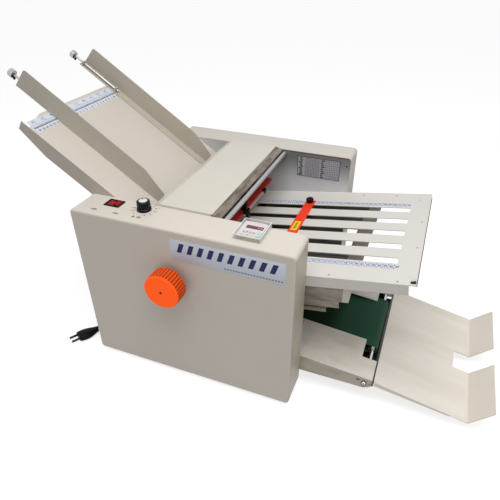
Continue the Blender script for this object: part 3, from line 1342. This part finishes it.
def add_key(name, x, y, length, width, top, body):
    """A key that stands a little out of its pocket, with room below it to be pressed."""
    height = KEY_RISE + KEY_POCKET / 2
    bm = moved(box(length, width, height, KEY_EDGE), 0, 0, KEY_RISE - height / 2)
    add_object(name, bm, WHITE_PLASTIC, place=(x, y, top))
    pocket = box(length + 2 * FIT, width + 2 * FIT, 2 * KEY_POCKET)
    combine(body, add_object(f"{name}_pocket", pocket, BEIGE_PLASTIC, place=(x, y, top)), "DIFFERENCE")


def smooth_route(knots, step):
    """Evenly spaced points on a smooth curve through the knots."""
    points = []
    ends = [2 * knots[0] - knots[1], *knots, 2 * knots[-1] - knots[-2]]
    for before, start, end, after in zip(ends, ends[1:], ends[2:], ends[3:]):
        pieces = max(2, round((end - start).length / step))
        for index in range(pieces):
            share = index / pieces
            square = share * share
            cube = square * share
            point = 2 * start + (end - before) * share
            point += (2 * before - 5 * start + 4 * end - after) * square
            point += (3 * start - before - 3 * end + after) * cube
            points.append(point / 2)
    points.append(knots[-1])
    return points


def add_tube(name, points, resolution):
    """A cord as a tube along its points."""
    curve = bpy.data.curves.new(name, "CURVE")
    curve.dimensions = "3D"
    curve.bevel_depth = CORD_RADIUS
    curve.bevel_resolution = resolution
    curve.use_fill_caps = True
    spline = curve.splines.new("POLY")
    spline.points.add(len(points) - 1)
    for knot, point in zip(spline.points, points):
        knot.co = (*point, 1.0)
    curve.materials.append(BLACK_RUBBER)
    bpy.context.scene.collection.objects.link(bpy.data.objects.new(name, curve))


def coil_point(turn):
    """A point of the coil, which spirals in on the floor and out again one layer up."""
    angle = math.pi - math.tau * (turn + COIL_HALF_TURNS)
    radius = COIL_INNER_RADIUS + COIL_PITCH * math.sqrt(turn * turn + COIL_SOFT_SHARE * COIL_SOFT_SHARE)
    share = min(max(turn / (2 * COIL_CLIMB_SHARE) + 1 / 2, 0.0), 1.0)
    climb = share * share * (3 - 2 * share)
    x = COIL_X + radius * math.cos(angle)
    y = COIL_Y + radius * math.sin(angle)
    return Vector((x, y, COIL_Z + COIL_PITCH * climb))


def coil_route():
    """The coil's points, with a straight cord diameter at each end."""
    count = round(2 * COIL_HALF_TURNS * COIL_POINTS)
    points = [coil_point(2 * COIL_HALF_TURNS * index / count - COIL_HALF_TURNS) for index in range(count + 1)]
    start = Vector((points[0].x, points[0].y - 2 * CORD_RADIUS, points[0].z))
    end = Vector((points[-1].x, points[-1].y - 2 * CORD_RADIUS, points[-1].z))
    return [start, *points, end]


def least_gap(points):
    """The smallest clear space between two runs of a coil that aren't neighbours along it."""
    fine = []
    for start, end in zip(points, points[1:]):
        fine.extend(start.lerp(end, share / 3) for share in range(3))
    skip = COIL_POINTS
    distances = []
    for index, point in enumerate(fine):
        distances.extend((point - other).length for other in fine[index + skip:])
    return min(distances) - 2 * CORD_RADIUS


def add_cord():
    """The mains lead: gland, first stretch, tied coil, last stretch and plug."""
    inside = BASE_INSET - CASE_LENGTH / 2 + FIT
    outside = inside - BASE_GAUGE - 2 * FIT
    profile = (
        (inside + GLAND_NUT_LENGTH, GLAND_RADIUS),
        (outside, GLAND_RADIUS),
        (outside, GLAND_FLANGE_RADIUS),
        (outside - GLAND_FLANGE_LENGTH, GLAND_FLANGE_RADIUS),
        (outside - GLAND_FLANGE_LENGTH, GLAND_RADIUS),
        (outside - GLAND_LENGTH, GLAND_TIP_RADIUS),
    )
    add_object("cord_gland", turned(profile, SMALL_STEPS, along_x), BLACK_RUBBER, place=(0, GLAND_Y, GLAND_Z))
    coil = coil_route()
    print("coil least gap mm", round(1000 * least_gap(coil), 3))
    add_tube("cord_coil", coil, 1)
    lead_start = Vector((outside - GLAND_LENGTH - FIT, GLAND_Y, GLAND_Z))
    add_tube("cord_lead", lead_route(lead_start, coil[0]), 2)
    add_tube("cord_tail", tail_route(coil[-1]), 2)
    add_tie()
    add_plug()


def lead_route(start, end):
    """From the gland down to the floor and round to the coil."""
    knots = [
        start,
        start + Vector((-CORD_STRAIGHT, 0, 0)),
        *[Vector(place) for place in LEAD_TURNS],
        Vector((end.x, end.y - CORD_STRAIGHT, end.z)),
        Vector((end.x, end.y - FIT, end.z)),
    ]
    return smooth_route(knots, CORD_STEP)


def tail_route(start):
    """From the coil's upper layer down to the floor and on to the plug."""
    heading = Vector((math.cos(PLUG_HEADING), math.sin(PLUG_HEADING), 0))
    end = Vector((PLUG_X, PLUG_Y, PLUG_HEIGHT / 2)) - heading * FIT
    knots = [
        Vector((start.x, start.y - FIT, start.z)),
        Vector((start.x, start.y - CORD_STRAIGHT, start.z)),
        *[Vector(place) for place in TAIL_TURNS],
        end - heading * CORD_STRAIGHT,
        end,
    ]
    return smooth_route(knots, CORD_STEP)


def add_tie():
    """The strap round the coil's two layers, flat on the floor."""
    reach = COIL_HALF_TURNS - 1 / 4
    inner = COIL_INNER_RADIUS - CORD_RADIUS - TIE_SLACK
    outer = COIL_INNER_RADIUS + COIL_PITCH * reach + CORD_RADIUS + TIE_SLACK
    low = COIL_Z - CORD_RADIUS - TIE_SLACK
    high = COIL_Z + COIL_PITCH + CORD_RADIUS + TIE_SLACK
    hole = [(inner, low), (outer, low), (outer, high), (inner, high)]
    gauge = TIE_GAUGE
    skin = [
        (inner - gauge, low - gauge),
        (outer + gauge, low - gauge),
        (outer + gauge, high + gauge),
        (inner - gauge, high + gauge),
    ]
    half = TIE_WIDTH / 2
    bm = sleeve_between(skin, hole, half)
    tie = add_object("coil_tie", bm, BLACK_RUBBER, place=(COIL_X, COIL_Y, 0))
    tie.rotation_euler = (0, 0, TIE_ANGLE)


def add_plug():
    """The moulded plug, tapered to its cord, with two flat blades."""
    neck_width = PLUG_WIDTH * PLUG_NECK_SHARE
    neck_height = PLUG_HEIGHT * PLUG_NECK_SHARE
    steps = 4 * (PLUG_CORNER_STEPS + 1)
    start = math.pi / 4 / PLUG_CORNER_STEPS
    tail = [(y, z) for y, z in circle(PLUG_TAIL_RADIUS, steps, start)]
    neck = rounded_rectangle(neck_width, neck_height, neck_height / 3, PLUG_CORNER_STEPS)
    body = rounded_rectangle(PLUG_WIDTH, PLUG_HEIGHT, PLUG_HEIGHT / 4, PLUG_CORNER_STEPS)
    bm = loft([
        along_x(circle(CORD_RADIUS + FIT, steps, start), 0),
        along_x(tail, PLUG_TAIL_LENGTH / 3),
        along_x(tail, PLUG_TAIL_LENGTH),
        along_x(neck, PLUG_TAIL_LENGTH + PLUG_LENGTH / 4),
        along_x(body, PLUG_TAIL_LENGTH + PLUG_LENGTH * 2 / 3),
        along_x(body, PLUG_TAIL_LENGTH + PLUG_LENGTH),
    ])
    place = (PLUG_X, PLUG_Y, PLUG_HEIGHT / 2)
    plug = add_object("plug", bm, BLACK_PLASTIC, place=place)
    plug.rotation_euler = (0, 0, PLUG_HEADING)
    for index, side in enumerate((-1, 1)):
        length = BLADE_LENGTH + OVERRUN
        blade = moved(box(length, BLADE_THICKNESS, BLADE_WIDTH, BLADE_EDGE), length / 2 - OVERRUN, 0, 0)
        moved(blade, PLUG_TAIL_LENGTH + PLUG_LENGTH, side * BLADE_SPACING / 2, 0)
        tool = add_object(f"plug_blade_{index + 1}", blade, STEEL, place=place)
        tool.rotation_euler = (0, 0, PLUG_HEADING)
        combine(plug, tool, "UNION")


ROLLER_PLACES = [
    (WHEEL_X - (index % 2) * ROLLER_STEP, WHEEL_Z - index * ROLLER_STEP)
    for index in range(ROLLER_COUNT)
]
MOTOR_REACH = MODULE * (GEAR_TEETH + MOTOR_TEETH) / 2
MOTOR_X = ROLLER_PLACES[-1][0] + MOTOR_REACH * math.cos(MOTOR_ANGLE)
MOTOR_Z = ROLLER_PLACES[-1][1] + MOTOR_REACH * math.sin(MOTOR_ANGLE)
FEED_ALONG = TRAY_LENGTH + FEED_ROLLER_LEAD
FEED_ABOVE = FEED_ROLLER_RADIUS - FEED_ROLLER_BITE
FEED_ROLLER_X = TRAY_TOP_X + FEED_ALONG * math.cos(TRAY_SLOPE) + FEED_ABOVE * math.sin(TRAY_SLOPE)
FEED_ROLLER_Z = TRAY_TOP_Z - FEED_ALONG * math.sin(TRAY_SLOPE) + FEED_ABOVE * math.cos(TRAY_SLOPE)
ROD_Z = FIT + GUIDE_GAUGE + ROD_LIFT
LEAD_PIECES = ("cord_gland", "cord_lead", "cord_coil", "cord_tail", "coil_tie", "plug")


def build():
    """Adds every piece of the machine."""
    front_cover = add_cover("front_cover", -1)
    add_cover("rear_cover", 1)
    add_side_plate("front_side_plate", -1)
    add_side_plate("rear_side_plate", 1)
    add_base()
    add_feet()
    add_rollers()
    add_motor()
    add_feed_roller()
    add_hand_wheel()
    shaft_hole = ROLLER_SHAFT_RADIUS + WHEEL_BOLT_CLEARANCE
    outer = -(MACHINE_WIDTH / 2 + OVERRUN)
    inner = outer + CASE_SHEET + 2 * OVERRUN
    place = (WHEEL_X, 0, WHEEL_Z)
    combine(front_cover, rod_tool("wheel_shaft_hole", shaft_hole, outer, inner, along_y, place), "DIFFERENCE")
    add_bridge()
    add_bars()
    tray_frame = add_frame("feed_tray_frame", (TRAY_TOP_X, 0, TRAY_TOP_Z), TRAY_SLOPE)
    add_feed_tray(tray_frame)
    add_separator(tray_frame)
    for name, side in (("front", -1), ("rear", 1)):
        add_guide(f"guide_{name}", side, tray_frame)
        add_clamp_rod(f"clamp_rod_{name}", side, tray_frame)
    plate_frame = add_frame("plate_frame", (PLATE_X, 0, PLATE_Z), -PLATE_SLOPE)
    add_top_plate(plate_frame)
    add_lower_plate(plate_frame)
    third_plates = (
        ("upper", THIRD_UPPER_TOP, THIRD_UPPER_FLANGE, THIRD_UPPER_END, THIRD_UPPER_STRIP),
        ("lower", THIRD_LOWER_TOP, THIRD_LOWER_FLANGE, THIRD_LOWER_END, 0),
    )
    for name, top, flange, end, strip in third_plates:
        add_third_plate(f"fold_plate_3_{name}", top, flange, end, strip, plate_frame)
    add_rear_plate("fold_plate_2", ROLLER_PLACES[1], ROLLER_PLACES[3])
    add_rear_plate("fold_plate_4", ROLLER_PLACES[3], ROLLER_PLACES[5])
    add_stop(plate_frame)
    add_exit_frame()
    add_belt()
    add_exit_tray()
    add_switch(front_cover)
    add_speed_knob(front_cover)
    add_counter()
    add_cord()


def set_origin():
    """Moves the machine so that the origin is under the middle of its bounds, without the mains lead."""
    machine = add_frame("machine", (0, 0, 0))
    for item in bpy.context.scene.objects:
        if item.parent is None and item is not machine:
            item.parent = machine
    bpy.context.view_layer.update()
    depsgraph = bpy.context.evaluated_depsgraph_get()
    places = []
    for item in bpy.context.scene.objects:
        if item.type == "MESH" and not item.hide_render and item.name not in LEAD_PIECES:
            evaluated = item.evaluated_get(depsgraph)
            places.extend(item.matrix_world @ vert.co for vert in evaluated.data.vertices)
    low = Vector([min(place[axis] for place in places) for axis in range(3)])
    high = Vector([max(place[axis] for place in places) for axis in range(3)])
    machine.location = (-(low.x + high.x) / 2, -(low.y + high.y) / 2, -low.z)
    print("origin moved by m", [round(value, 6) for value in machine.location])


build()
set_origin()
